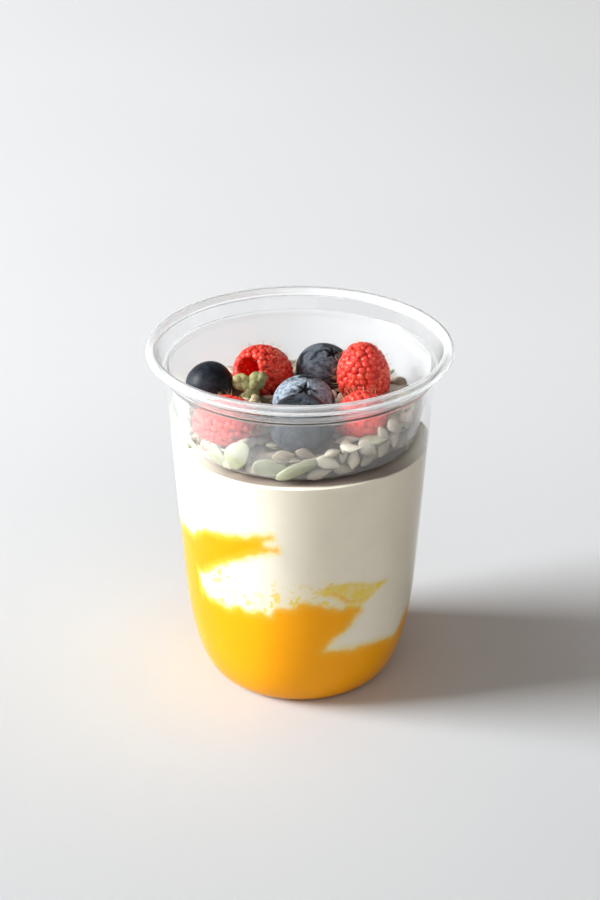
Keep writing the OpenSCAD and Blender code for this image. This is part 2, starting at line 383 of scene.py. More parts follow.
def cupMeasures():
    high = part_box("cup")[1]
    c = cupShape
    rim = high.x / mm
    height = high.z / mm
    neckTop = rim - c["bead"] + c["wall"]
    neckBottom = neckTop - c["neckDraft"]
    shoulder = neckBottom - c["shelf"]
    shelfZ = height - c["neckHeight"]
    return {"rim": rim, "height": height, "neckBottom": neckBottom, "shoulder": shoulder, "shelfZ": shelfZ,
            "shoulderZ": shelfZ - c["wall"] - 0.8 * c["shelf"], "footInner": c["footRadius"] - c["footWidth"]}


cup = cupMeasures()


def lineRadius(z):
    return cup["shoulder"] - (cup["shoulderZ"] - z) * cupShape["taper"]


def sideOutline(steps=40):
    # outside of the cup from the shoulder down to the foot
    power, top = cupShape["bowlPower"], cupShape["bowlHeight"]
    out = [(cup["shoulder"], cup["shoulderZ"])]
    for i in range(steps + 1):
        t = math.pi / 2 * i / steps
        z = top * (1 - math.sin(t) ** (2 / power))
        cut = (lineRadius(0) - cupShape["footRadius"]) * (1 - max(0.0, math.cos(t)) ** (2 / power))
        out.append((lineRadius(z) - cut, z))
    return out


def inward(outline, distance):
    # the outline moved inwards, square to itself
    out = []
    for i, p in enumerate(outline):
        a, b = outline[max(0, i - 1)], outline[min(len(outline) - 1, i + 1)]
        along = Vector((b[0] - a[0], b[1] - a[1])).normalized()
        side = (0.0, 1.0) if i == len(outline) - 1 else (along.y, -along.x)
        out.append((p[0] + distance * side[0], p[1] + distance * side[1]))
    return out


def cupOutline():
    c = cupShape
    bead = (cup["rim"] - c["bead"] / 2, cup["height"] - c["bead"] / 2)
    foot = cup["footInner"]
    side = sideOutline()
    outside = arcPoints(bead, c["bead"] / 2 - c["wall"], 180 - c["beadTurn"], 180, 48)
    outside += [(cup["neckBottom"], cup["shelfZ"] - c["wall"])] + side
    outside += [(foot, 0), (foot - c["baseRise"], c["baseRise"]), (0, c["baseRise"])]
    inside = arcPoints(bead, c["bead"] / 2, 180 - c["beadTurn"], 180, 64)
    inside += [(cup["neckBottom"] - c["wall"], cup["shelfZ"]),
               (cup["shoulder"] - c["wall"], cup["shoulderZ"] + c["wall"])]
    inside += inward(side, c["wall"])
    inside += [(foot, c["wall"]), (foot - c["baseRise"], c["baseRise"] + c["wall"]),
               (0, c["baseRise"] + c["wall"])]
    outside, inside = roundCorners(outside, c["cornerRound"]), roundCorners(inside, c["cornerRound"])
    return [(r * mm, z * mm) for r, z in outside + inside[::-1]]


def makeCup():
    verts, rows = spin(cupOutline(), cupShape["sides"])
    c = clearSettings
    material = makeClearPlastic("clearCupPlastic", c["cupClear"], c["rimIor"])
    obj = newObject("cup_wall", verts, skin(rows, closed=True), ["cup"], material,
                    cupShape["sharpAngle"])
    closeMesh(obj)
    # the bead scatters more light than the neck, and the wall below the ledge shines less
    obj.data.materials.append(makeClearPlastic("clearRimPlastic", c["rimClear"], c["rimIor"]))
    obj.data.materials.append(makeClearPlastic("clearWallPlastic", c["cupClear"], c["wallIor"]))
    beadLow = cup["height"] - 1.02 * cupShape["bead"]
    neckLow = beadLow - cupShape["neckHeight"]
    for face in obj.data.polygons:
        z = face.center.z / mm
        face.material_index = 1 if z > beadLow else 2 if z < neckLow else 0
    print("cup", len(obj.data.polygons), "faces")


# the tray holds the toppings
trayShape = {"wall": 0.45, "taper": 0.21, "corner": 1.8, "gap": 0.35, "edgeRound": 0.4,
             "roundFrom": 25, "sharpAngle": 50, "sides": 256}


def trayMeasures():
    low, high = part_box("tray")
    t = trayShape
    bottom, flange = low.z / mm, high.z / mm - t["wall"]
    top = cup["shoulder"] - cupShape["wall"] - t["gap"]
    return {"bottom": bottom, "flange": flange, "flangeRadius": high.x / mm, "topRadius": top,
            "bottomRadius": top - t["taper"] * (flange - bottom), "floor": bottom + t["wall"]}


tray = trayMeasures()


def makeTray():
    t = trayShape
    corner = (tray["bottomRadius"] - t["corner"], tray["bottom"] + t["corner"])
    outside = [(tray["flangeRadius"], tray["flange"]), (tray["topRadius"], tray["flange"])]
    outside += arcPoints(corner, t["corner"], 0, -90, 10) + [(0, tray["bottom"])]
    inside = [(tray["flangeRadius"], tray["flange"] + t["wall"]),
              (tray["topRadius"] - t["wall"], tray["flange"] + t["wall"])]
    inside += arcPoints(corner, t["corner"] - t["wall"], 0, -90, 10) + [(0, tray["floor"])]
    outside, inside = (roundCorners(side, t["edgeRound"], t["roundFrom"]) for side in (outside, inside))
    outline = [(r * mm, z * mm) for r, z in outside + inside[::-1]]
    verts, rows = spin(outline, t["sides"])
    material = makeClearPlastic("clearTrayPlastic", clearSettings["trayClear"], clearSettings["trayIor"])
    obj = newObject("tray_shell", verts, skin(rows, closed=True), ["tray"], material,
                    t["sharpAngle"])
    closeMesh(obj)
    print("tray", len(obj.data.polygons), "faces")


fillShape = {"intoWall": 0.2, "columns": 440, "step": 0.64, "sharpAngle": 35,
             "dip": 1.0, "dipAngles": (20, 75, 120, 175), "dipRadius": 38, "dipDepth": 6,
             "sink": 0.15, "ripple": 0.12, "rippleSize": 5.0,
             "shadedTo": ((-60, 0, 40), (0.975, 0.945, 0.99)), "shadeEdge": (0.008, 0.012),
             "shadeLeast": 0.3, "shadeLeft": (-80, -25), "shadeRight": (80, 40), "topBand": 0.02}
swirlShape = {"radius": 37.0, "middle": 36.0, "columns": 360, "shares": (0.3, 0.55, 0.75, 0.9, 1.0, 1.25),
              "bottom": -1.0, "strokeDepth": 8, "thinDepth": 3, "whiteDepth": 9, "leastDepth": 0.6,
              "fullHalf": 2.5, "slopeStep": 0.7, "steepTurns": (-5, -2.5, 0, 2.5, 5), "steepDepth": 3.2,
              "fleckAngles": (-62, -45, 12, 24), "fleckTop": 50, "fleckDepths": (-9.0, -3.0, -0.5, 0.3)}
# angle round the cup and height of the mango's top edge at the wall
mangoEdge = [(-180, 34), (-150, 41), (-120, 50), (-90, 55), (-68, 56.5), (-61, 53), (-55.2, 38.4),
             (-51, 36.4), (-45, 36.6), (-38, 35.6), (-31, 37.6), (-26, 36.4), (-19, 37.4),
             (-15, 36.6), (-10, 39.8), (-5, 39.6), (1, 41.6), (8, 41.2), (15, 39.4), (22, 38.2),
             (30, 38.2), (34, 22), (60, 19.5), (68, 24), (84, 27.5), (110, 30), (145, 32), (180, 34)]
# strokes: angle, height and half height at each station
swirlStrokes = {
    "tongue": [(-72, 51, 5), (-58, 50, 6.4), (-46, 55.6, 6.1), (-30, 59.5, 4.0), (-20, 61.8, 2.6)],
    "upperProng": [(-22, 63, 1.5), (-17, 64.2, 1.1), (-13.5, 65.2, 0.4)],
    "lowerProng": [(-22, 60, 1.3), (-16, 60.4, 0.9), (-11, 60.8, 0.4)]}
thinStrokes = {
    "wisp": [(6, 45.6, 0.5), (14, 45.4, 2.4), (25, 44.6, 3.2), (35, 42.8, 2.8), (46, 43.8, 0.4)],
    "wispRoot": [(33, 41.5, 2.4), (25, 38, 2.6)]}
darkStreak = [(15.5, 44.8, 0.2), (20, 42.8, 0.6), (24, 40.6, 0.4), (28, 40.2, 0.2)]
whiteSpot = [(14, 39.6, 0.3), (19.7, 39.5, 1.0), (26, 38.9, 0.3)]
whiteTongue = [(44, 30, 8), (36, 29.5, 7.4), (28, 27, 5), (20, 25.6, 3), (12, 23.6, 0.4)]


def edgeHeight(angle):
    knots = np.array(mangoEdge, float)
    angle = np.clip(angle, -180, 180)
    k = np.clip(np.searchsorted(knots[:, 0], angle, side="right") - 1, 0, len(knots) - 2)
    a, b = knots[k], knots[k + 1]
    return a[:, 1] + (b[:, 1] - a[:, 1]) * smoothStep(0, 1, (angle - a[:, 0]) / (b[:, 0] - a[:, 0]))


def strokeDepth(stations, angle, z, radius):
    # how far a point on the wall is inside a stroke, in millimetres; below 0 outside
    best = np.full(len(angle), -1e3)
    scale = math.pi / 180 * radius
    for (a0, z0, h0), (a1, z1, h1) in zip(stations, stations[1:]):
        dx, dz = (a1 - a0) * scale, z1 - z0
        t = np.clip(((angle - a0) * scale * dx + (z - z0) * dz) / (dx * dx + dz * dz), 0, 1)
        away = np.hypot((angle - a0) * scale - dx * t, z - z0 - dz * t)
        best = np.maximum(best, h0 + (h1 - h0) * t - away)
    return best


def mangoDepth(angle, z):
    # distance inside the mango at the wall, in millimetres, and the share that is a thin streak
    radius = swirlShape["radius"]
    edge = edgeHeight(angle)
    step = swirlShape["slopeStep"]
    slope = (edgeHeight(angle + step) - edgeHeight(angle - step)) / (2 * math.radians(step) * radius)
    # a steep drop of the edge would make the distance too small, so a point well below it counts in full
    lowest = np.min([edgeHeight(angle + turn) for turn in swirlShape["steepTurns"]], axis=0)
    solid = np.maximum((edge - z) / np.sqrt(1 + slope ** 2), np.minimum(lowest - z, swirlShape["steepDepth"]))
    solid = np.minimum(solid, -strokeDepth(whiteTongue, angle, z, radius))
    for stations in list(swirlStrokes.values()) + [darkStreak]:
        solid = np.maximum(solid, strokeDepth(stations, angle, z, radius))
    solid = np.minimum(solid, -strokeDepth(whiteSpot, angle, z, radius))
    thin = np.max([strokeDepth(s, angle, z, radius) for s in thinStrokes.values()], axis=0)
    return solid, thin


def fillOutline():
    off = cupShape["wall"] - fillShape["intoWall"]
    side = inward(sideOutline(60), off)
    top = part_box("yogurt")[1].z / mm
    foot = cup["footInner"]
    below = [p for p in side if p[1] < min(top, cupShape["bowlHeight"] + 1)]
    wallTop = lineRadius(top) - off
    bottom = cupShape["baseRise"] + off
    outline = [(0, top), (wallTop, top)] + below
    outline += [(foot, off), (foot - cupShape["baseRise"], bottom), (0, bottom)]
    return spaced(outline, fillShape["step"])


def makeFilling():
    outline = [(r * mm, z * mm) for r, z in fillOutline()]
    verts, rows = spin(outline, fillShape["columns"])
    obj = newObject("filling", verts, skin(rows))
    closeMesh(obj)
    return obj


def makeSwirlCutter():
    # the mango's body: under a surface that runs from the edge at the wall to the middle
    s = swirlShape
    columns, middle, wallRadius = s["columns"], s["middle"], lineRadius(cupShape["bowlHeight"])
    angles = -180 + 360 * (np.arange(columns) + 0.5) / columns
    edge = edgeHeight(angles)
    verts, rows = [(0, 0, middle)], [[0] * columns]
    for share in s["shares"]:
        rows.append(newRow(verts, columns))
        for a, e in zip(np.radians(angles), edge):
            r = share * wallRadius
            verts.append((r * math.sin(a), -r * math.cos(a), middle + (e - middle) * min(1, share * share)))
    rows.append(newRow(verts, columns))
    verts += [(v[0], v[1], s["bottom"]) for v in verts[rows[-2][0]:rows[-2][0] + columns]]
    rows.append([len(verts)] * columns)
    verts.append((0, 0, s["bottom"]))
    body = newObject("swirl_body", [Vector(v) * mm for v in verts], skin(rows))
    closeMesh(body)
    combine(body, strokeSolid("white", whiteTongue, s["whiteDepth"]), "DIFFERENCE")
    for name, stations in {**swirlStrokes, **thinStrokes}.items():
        depth = s["thinDepth"] if name in thinStrokes else s["strokeDepth"]
        combine(body, strokeSolid(name, stations, depth), "UNION")
    return body


def strokeSolid(name, stations, depth):
    # flattened blobs along the wall, hulled two by two
    whole = None
    for i, (a, b) in enumerate(zip(stations, stations[1:])):
        mesh = bmesh.new()
        for angle, z, half in (a, b):
            turn = Matrix.Rotation(math.radians(angle), 4, "Z")
            place = turn @ Matrix.Translation((0, -lineRadius(z) * mm, z * mm))
            deep = max(swirlShape["leastDepth"], depth * min(1, half / swirlShape["fullHalf"])) * mm
            place = place @ Matrix.Diagonal((half * mm, deep, half * mm, 1))
            bmesh.ops.create_uvsphere(mesh, u_segments=24, v_segments=16, radius=1, matrix=place)
        bmesh.ops.convex_hull(mesh, input=mesh.verts)
        loose = [v for v in mesh.verts if not v.link_faces]
        bmesh.ops.delete(mesh, geom=loose, context="VERTS")
        data = bpy.data.meshes.new(f"{name}_{i}")
        mesh.to_mesh(data)
        mesh.free()
        part = addObject(data.name, data)
        closeMesh(part)
        if whole is None:
            whole = part
        else:
            combine(whole, part, "UNION")
    return whole


def combine(obj, tool, operation):
    # boolean of obj with tool, which is used up
    applyModifier(obj, "BOOLEAN", operation=operation, object=tool, solver="MANIFOLD")
    bpy.data.objects.remove(tool)


def duplicate(obj, name):
    return addObject(name, obj.data.copy())


# colour of the two foods where they meet, by the depth stored at each vertex
swirlFinish = {"bigNoise": (330.0, 3.0, 0.6), "smallNoise": (1300.0, 2.0, 0.7), "bigSwing": 2.6,
               "smallSwing": 0.6, "edge": (-1.0, 0.9), "fringe": (0.3, 3.0, 0.3, 0.0),
               "tint": (-2.6, 0.0, 0.0, 0.6), "zoneTint": 0.14,
               "fleckNoise": (420.0, 2.5, 0.6), "flecks": (0.53, 0.60, 0.0, 0.9),
               "clots": (0.35, 0.6, 0.7, 1.0), "streak": (-0.9, 1.2), "streakRagged": 0.45}


def makeSwirlGroup():
    group, given, result = newGroup(
        "swirlFood",
        [("Yogurt", "NodeSocketColor", (1, 1, 1, 1)), ("Mango", "NodeSocketColor", (1, 0.5, 0, 1)),
         ("Streak", "NodeSocketColor", (1, 0.8, 0.2, 1))],
        [("Colour", "NodeSocketColor")])
    s = swirlFinish
    yogurt, mango, streakColour = (given.outputs[name] for name in ("Yogurt", "Mango", "Streak"))
    big = noise(group, *s["bigNoise"])
    small = noise(group, *s["smallNoise"])
    ragged = maths(group, "ADD", swing(group, big, s["bigSwing"]), swing(group, small, s["smallSwing"]))
    edge = maths(group, "ADD", attribute(group, "mangoDepth"), ragged)
    # pale tint that has run into the yogurt, and small flecks above the edge
    zone = attribute(group, "fleckZone")
    flecks = between(group, noise(group, *s["fleckNoise"]), *s["flecks"])
    flecks = maths(group, "MULTIPLY", flecks, zone)
    tint = maths(group, "MAXIMUM", between(group, edge, *s["tint"]),
                 maths(group, "MULTIPLY", zone, s["zoneTint"]))
    # thin streak, paler and clotted
    frayed = maths(group, "ADD", attribute(group, "thinDepth"),
                   maths(group, "MULTIPLY", ragged, s["streakRagged"]))
    streak = maths(group, "MULTIPLY", between(group, frayed, *s["streak"]), between(group, big, *s["clots"]))
    pale = maths(group, "MAXIMUM", maths(group, "MAXIMUM", flecks, tint), streak)
    fringe = between(group, edge, *s["fringe"])  # the mango is yellower where it thins out
    colour = mixColours(group, between(group, edge, *s["edge"]),
                        mixColours(group, pale, yogurt, streakColour),
                        mixColours(group, fringe, mango, streakColour))
    group.links.new(colour, result.inputs["Colour"])
    return group


foodFinish = {"yogurt": (0.915, 0.85, 0.70, 1), "paintedTrayShade": (0.30, 0.235, 0.19, 1),
              "mango": (1.0, 0.415, 0.001, 1), "mangoShadedLeft": (0.55, 0.295, 0.001, 1),
              "mangoShadeRange": (-0.034, -0.008), "streak": (0.90, 0.68, 0.12, 1),
              "yogurtRough": 0.35, "mangoRough": 0.3, "specular": 0.08,
              "cover": {"Patch Size": 45.0, "Grain Size": 900.0, "Patch Depth": 0.05, "Bump": 0.05}}


def makeFoodMaterial(slotName, swirl):
    mat, tree, shader = newMaterial(slotName + "Food")
    c = foodFinish
    # painted shade: the yogurt's top under the tray is tinted brown-grey where the tray and its toppings
    # shade it
    yogurt = mixColours(tree, attribute(tree, "paintedTrayShade"), c["yogurt"], c["paintedTrayShade"])
    # painted shade: the mango is darker towards the left, where the key light falls strongest
    side = between(tree, alongAxis(tree, "X"), *c["mangoShadeRange"])
    mango = mixColours(tree, side, c["mangoShadedLeft"], c["mango"])
    mixed = useGroup(tree, swirl, {"Yogurt": yogurt, "Mango": mango, "Streak": c["streak"]})
    coverUneven(tree, shader, mixed.outputs["Colour"], c["cover"], c[slotName + "Rough"])
    shader.inputs["Specular IOR Level"].default_value = c["specular"]  # the wall wets it, so it hardly shines
    return mat


def makeFoods():
    filling = makeFilling()
    swirl = makeSwirlGroup()
    yogurt, mango = duplicate(filling, "yogurt_filling"), duplicate(filling, "mango_filling")
    cutter = makeSwirlCutter()
    combine(mango, duplicate(cutter, "swirl_copy"), "INTERSECT")
    combine(yogurt, cutter, "DIFFERENCE")
    bpy.data.objects.remove(filling)
    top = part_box("yogurt")[1].z
    wallTop = np.hypot(*getPoints(yogurt)[:, :2].T).max()  # the filling is widest at its top
    for obj, slotName in ((yogurt, "yogurt"), (mango, "mango")):
        finishObject(obj, [slotName], makeFoodMaterial(slotName, swirl), fillShape["sharpAngle"])
        markFood(obj, top, wallTop)
        print(obj.name, len(obj.data.polygons), "faces")


def markFood(obj, top, wallTop):
    # what the material needs at each vertex: depth in the mango, zone of the flecks, and the painted shade
    # under the tray
    s = fillShape
    p = getPoints(obj)
    angle = np.degrees(np.arctan2(p[:, 0], -p[:, 1]))
    depth, thin = mangoDepth(angle, p[:, 2] / mm)
    addAttribute(obj, "mangoDepth", depth)
    addAttribute(obj, "thinDepth", thin)
    left, leftFull, rightFull, right = swirlShape["fleckAngles"]
    high, highFull, lowFull, low = swirlShape["fleckDepths"]
    zone = smoothStep(left, leftFull, angle) * smoothStep(right, rightFull, angle)
    zone = zone * (p[:, 2] < swirlShape["fleckTop"] * mm) * smoothStep(high, highFull, depth)
    addAttribute(obj, "fleckZone", zone * smoothStep(low, lowFull, depth))
    # painted shade under the tray on the filling's top: full at the front, weaker to the left, none to the
    # right
    share = np.hypot(p[:, 0], p[:, 1]) / wallTop
    edge = np.interp(angle, *s["shadedTo"])
    strength = s["shadeLeast"] + (1 - s["shadeLeast"]) * smoothStep(*s["shadeLeft"], angle)
    strength = strength * smoothStep(*s["shadeRight"], angle)
    shaded = smoothStep(edge + s["shadeEdge"][0], edge - s["shadeEdge"][1], share) * strength
    addAttribute(obj, "paintedTrayShade", shaded * (p[:, 2] > top - s["topBand"] * mm))
    sinkTop(obj, top, angle)


def sinkTop(obj, top, angle):
    # the level drops a little at one side, where it was tapped down
    s = fillShape
    p = getPoints(obj)
    first, full, fullEnd, last = s["dipAngles"]
    share = smoothStep(first, full, angle) * smoothStep(last, fullEnd, angle)
    out = np.clip(np.hypot(p[:, 0], p[:, 1]) / (s["dipRadius"] * mm), 0, 1)
    near = smoothStep(top - s["dipDepth"] * mm, top, p[:, 2])
    ripple = s["ripple"] * waves(p / mm, s["rippleSize"], 3)
    p[:, 2] -= near * (s["dip"] * share * out + s["sink"] + ripple * out) * mm
    setPoints(obj, p)


blueberryShape = {"columns": 130, "rows": 90, "lip": 0.3, "hole": 0.235, "sunk": 0.07, "lobes": 5}
blueberryFinish = {"skin": (0.004, 0.005, 0.007, 1), "skinPale": (0.012, 0.014, 0.020, 1),
                   "wax": (0.44, 0.51, 0.60, 1), "crater": (0.006, 0.005, 0.005, 1), "specular": 0.14,
                   "warp": (160.0, 5.0, 0.62, 0.8), "fine": (900.0, 4.0, 0.7), "rubbed": (0.36, 0.56),
                   "speckle": (0.35, 0.62, 0.35, 1.0), "rough": (0.0, 0.6, 0.36, 0.7),
                   "bump": (0.25, 0.0002)}
# diameter, height, lean, direction, bloom, turn
blueberries = {
    "blueberry_1": (15.8, 14.8, 75, 150, 0.05, 10),
    "blueberry_2": (18.8, 15.6, 26, -50, 0.36, 40),
    "blueberry_3": (19.6, 15.8, 28, -85, 1.0, 15),
    "blueberry_4": (19.4, 15.8, 155, 100, 0.25, 70)}


def berryPlace(node, lean, direction):
    low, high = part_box(node)
    turn = Matrix.Rotation(math.radians(direction), 4, "Z") @ Matrix.Rotation(math.radians(lean), 4, "Y")
    return Matrix.Translation((low + high) / 2), turn


def makeBerry(name, node, p, grid, shift, material, marks):
    obj = newObject(name, [shift @ Vector(v) for v in p], skin(grid), [node], material)
    for mark, values in marks.items():
        addAttribute(obj, mark, values)
    closeMesh(obj, weldReach)


def makeBlueberryMaterial():
    mat, tree, shader = newMaterial("blueberrySkin")
    c = blueberryFinish
    fine = noise(tree, *c["fine"])
    rubbed = between(tree, noise(tree, *c["warp"]), *c["rubbed"])
    speckle = between(tree, fine, *c["speckle"])
    wax = maths(tree, "MULTIPLY", maths(tree, "MULTIPLY", rubbed, speckle), attribute(tree, "bloom"))
    colour = mixColours(tree, wax, mixColours(tree, fine, c["skin"], c["skinPale"]), c["wax"])
    colour = mixColours(tree, attribute(tree, "crater"), colour, c["crater"])
    setInputs(tree, shader, {
        "Base Color": colour, "Roughness": between(tree, wax, *c["rough"]),
        "Specular IOR Level": c["specular"], "Normal": bumpFrom(tree, fine, *c["bump"])})
    return mat


def makeBlueberry(node, material, seed):
    diameter, height, lean, direction, bloomShare, turnStar = blueberries[node]
    s = blueberryShape
    radius, half = diameter / 2, height / 2
    columns, rows = s["columns"], s["rows"]
    around = np.radians(np.arange(columns) * 360 / columns)
    star = np.abs(np.cos((around + math.radians(turnStar)) * s["lobes"] / 2))  # 0 at the tips of the lobes
    hole = s["hole"] * (0.55 + 0.6 * (1 - star) ** 1.3)
    verts, bloom, crater, grid = [], [], [], []
    for i in range(rows + 1):
        t = (i / rows) ** 0.8 * math.pi  # rows lie closer at the calyx
        grid.append(newRow(verts, columns))
        share = math.sin(t) if t < math.pi / 2 else 1.0
        inside = smoothStep(hole + 0.03, hole - 0.05, share) * (t < 1)
        lip = np.exp(-((share - hole - 0.06) / 0.07) ** 2) * (t < 1)
        z = half * math.cos(t) + lip * s["lip"] * (0.25 + 0.75 * star) - inside * s["sunk"] * half
        z += 0.3 * smoothStep(0.1, 0.0, share) * inside
        r = radius * math.sin(t) * (1 + 0.02 * lip)
        verts += list(np.stack([r * np.cos(around), r * np.sin(around), z], 1))
        bloom += list(bloomShare * (1 - 0.35 * inside))
        crater += list(inside)
    p = np.array(verts)
    p *= (1 + 0.012 * waves(p, 5.5, seed))[:, None]
    move, turn = berryPlace(node, lean, direction)
    shift = move @ turn @ Matrix.Translation((0, 0, -s["lip"] / 3 * mm)) @ Matrix.Scale(mm, 4)
    makeBerry(node + "_skin", node, p, grid, shift, material, {"bloom": bloom, "crater": crater})


raspberryShape = {"columns": 196, "openAngle": -52, "outlineSteps": 60, "topShare": 0.58, "fullness": 0.85,
                  "drupeletWidth": 2.15, "drupeletHeight": 0.75, "rowStep": 0.265, "rowShare": 0.84,
                  "columnShare": 0.98, "radiusShare": 0.55, "sizes": (0.86, 1.14), "wobble": 0.2,
                  "turnSpread": 0.3, "wellDimple": 0.18, "wellFade": (14, 2), "unround": 0.03,
                  "well": ((0.86, -0.02), (0.74, 0.02), (0.68, 0.12), (0.58, 0.3), (0.38, 0.45), (0.15, 0.52),
                           (0, 0.53))}
raspberryFinish = {"deep": ((0.56, 0.009, 0.011, 1), (0.74, 0.028, 0.018, 1)),
                   "bright": ((0.86, 0.035, 0.028, 1), (1.0, 0.10, 0.06, 1)),
                   "well": (0.80, 0.022, 0.014, 1), "speck": (1.0, 0.45, 0.22, 1),
                   "lowShade": (0.12, 0.008, 0.010, 1), "lowShadeHeights": (0.086, 0.1, 0.5, 0.0),
                   "toneNoise": (140.0, 2.0), "domeRange": (0.05, 0.8), "speckNoise": (1100.0, 2.0, 0.6),
                   "speckRange": (0.60, 0.70, 0.0, 0.55), "grainNoise": (2200.0, 3.0, 0.7),
                   "bump": (0.5, 0.0002)}
raspberryGloss = {"Roughness": 0.2, "Specular IOR Level": 0.38, "Subsurface Weight": 0.25,
                  "Subsurface Radius": (1.0, 0.25, 0.15), "Subsurface Scale": 0.0012}
# diameter, length, lean, direction
raspberries = {
    "raspberry_1": (18, 18.6, 116, 55),
    "raspberry_2": (17.2, 18.6, 6, 200),
    "raspberry_3": (16, 16.4, 35, 300),
    "raspberry_4": (17.4, 18.2, 82, 160)}


def raspberryOutline(diameter, length):
    # from the tip over the widest ring to the open end and down the well
    s = raspberryShape
    openEnd = s["openAngle"]
    out = []
    for a in np.linspace(90, openEnd, s["outlineSteps"] + 1):
        height = s["topShare"] if a > 0 else (1 - s["topShare"]) / -math.sin(math.radians(openEnd))
        r = diameter / 2 * max(0, math.cos(math.radians(a))) ** s["fullness"] - s["drupeletHeight"]
        out.append((max(0, r), length * height * math.sin(math.radians(a))))
    mouth, low = out[-1]
    out += [(mouth * share, low + rise * length) for share, rise in s["well"]]
    return spaced(out, s["rowStep"])


def makeRaspberryMaterial():
    mat, tree, shader = newMaterial("raspberryFlesh")
    c = raspberryFinish
    tone = noise(tree, *c["toneNoise"])
    # painted shade: the creases between the drupelets are darker and the drupelet tops brighter
    dome = between(tree, attribute(tree, "dome"), *c["domeRange"])
    colour = mixColours(tree, dome, mixColours(tree, tone, *c["deep"]), mixColours(tree, tone, *c["bright"]))
    colour = mixColours(tree, attribute(tree, "well"), colour, c["well"])
    speck = between(tree, noise(tree, *c["speckNoise"]), *c["speckRange"])
    colour = mixColours(tree, speck, colour, c["speck"])
    lowShade = between(tree, alongAxis(tree, "Z"), *c["lowShadeHeights"])  # painted shade: darker low down, in place of the shade on the berries' lower parts
    relief = bumpFrom(tree, noise(tree, *c["grainNoise"]), *c["bump"])
    setInputs(tree, shader, {"Base Color": mixColours(tree, lowShade, colour, c["lowShade"]), "Normal": relief,
                             **raspberryGloss})
    return mat


def makeRaspberry(node, material, seed):
    diameter, length, lean, direction = raspberries[node]
    s = raspberryShape
    rng = np.random.RandomState(seed)
    flat = np.array(raspberryOutline(diameter, length))
    tangent = np.gradient(flat, axis=0)
    tangent /= np.linalg.norm(tangent, axis=1)[:, None]
    normal = np.stack([-tangent[:, 1], tangent[:, 0]], 1)
    if normal[len(flat) // 4, 0] < 0:
        normal = -normal
    # drupelet middles in rows round the outside, each row turned by half a place
    reach = np.concatenate([[0], np.cumsum(np.linalg.norm(np.diff(flat, axis=0), axis=1))])
    lowest = int(np.argmin(flat[:, 1]))
    middles, sizes = [], []
    total, width = reach[lowest], s["drupeletWidth"]
    count = max(5, round(total / (width * s["rowShare"])))
    for k in range(count + 1):
        at = total * k / count
        r, z = np.interp(at, reach, flat[:, 0]), np.interp(at, reach, flat[:, 1])
        n = max(1, round(2 * math.pi * r / (width * s["columnShare"])))
        for j in range(n):
            a = 2 * math.pi * (j + 0.5 * (k % 2) + s["turnSpread"] * rng.uniform(-1, 1)) / n
            middles.append(np.array((r * math.cos(a), r * math.sin(a), z)) + rng.normal(0, s["wobble"], 3))
            sizes.append(width * s["radiusShare"] * rng.uniform(*s["sizes"]))
    middles, sizes = np.array(middles), np.array(sizes)
    columns = s["columns"]
    around = np.arange(columns) * 2 * math.pi / columns
    verts, dome, well, grid = [], [], [], []
    for i, (r, z) in enumerate(flat):
        grid.append(newRow(verts, columns))
        p = np.stack([r * np.cos(around), r * np.sin(around), np.full(columns, z)], 1)
        n = np.stack([normal[i, 0] * np.cos(around), normal[i, 0] * np.sin(around),
                      np.full(columns, normal[i, 1])], 1)
        away = np.linalg.norm(p[:, None] - middles[None], axis=2)
        bulge = np.sqrt(np.clip(1 - (away / sizes) ** 2, 0, None)).max(1)
        # the well has only faint dimples
        fade = float(smoothStep(lowest + s["wellFade"][0], lowest + s["wellFade"][1], i))
        lift = s["drupeletHeight"] * bulge * (fade + s["wellDimple"] * (1 - fade))
        verts += list(p + n * lift[:, None])
        dome += list(bulge)
        well += [1 - fade] * columns
    p = np.array(verts)
    p[:, :2] *= (1 + s["unround"] * waves(p, 7.0, seed + 50))[:, None]
    move, turn = berryPlace(node, lean, direction)
    centre = length * (s["topShare"] - 0.5)
    shift = move @ turn @ Matrix.Translation((0, 0, -centre * mm)) @ Matrix.Scale(mm, 4)
    makeBerry(node + "_flesh", node, p, grid, shift, material, {"dome": dome, "well": well})
    return [(shift @ Vector(m), (turn.to_3x3() @ Vector((m[0], m[1], m[2] * 0.6))).normalized())
            for m in middles]


hairShape = {"radius": 0.06, "length": (1.4, 3.0), "share": 0.9, "sides": 4, "steps": 5, "lowest": 5,
             "outFrom": 0.7, "sideFrom": 1.0, "droop": 0.35, "sweep": 0.75, "taper": 0.75,
             "colour": (0.80, 0.48, 0.25, 1), "rough": 0.5,
             "cover": {"Patch Size": 700.0, "Patch Depth": 0.3, "Bump": 0.0}}


def makeHairs(tips):
    # the fine dried threads between the drupelets
    s = hairShape
    rng = random.Random(11)
    verts, faces = [], []
    for place, out in tips:
        if rng.random() > s["share"] or place.z < (tray["floor"] + s["lowest"]) * mm:
            continue
        length = rng.uniform(*s["length"]) * mm
        side = out.orthogonal().normalized()
        side.rotate(Matrix.Rotation(rng.uniform(0, 6.3), 3, out))
        start = place + out * s["outFrom"] * mm + side * s["sideFrom"] * mm
        rings = []
        for i in range(s["steps"] + 1):
            t = i / s["steps"]
            centre = start + out * length * (t - s["droop"] * t * t) + side * length * s["sweep"] * t * t
            thick = s["radius"] * mm * (1 - s["taper"] * t)
            rings.append(newRow(verts, s["sides"]))
            for j in range(s["sides"]):
                a = 2 * math.pi * j / s["sides"]
                verts.append(centre + (side * math.cos(a) + out.cross(side) * math.sin(a)) * thick)
        faces += skin(rings) + [rings[0][::-1], rings[-1]]
    mat, tree, shader = newMaterial("driedThread")
    coverUneven(tree, shader, s["colour"], s["cover"], s["rough"])
    newObject("raspberry_threads", verts, faces, (), mat)


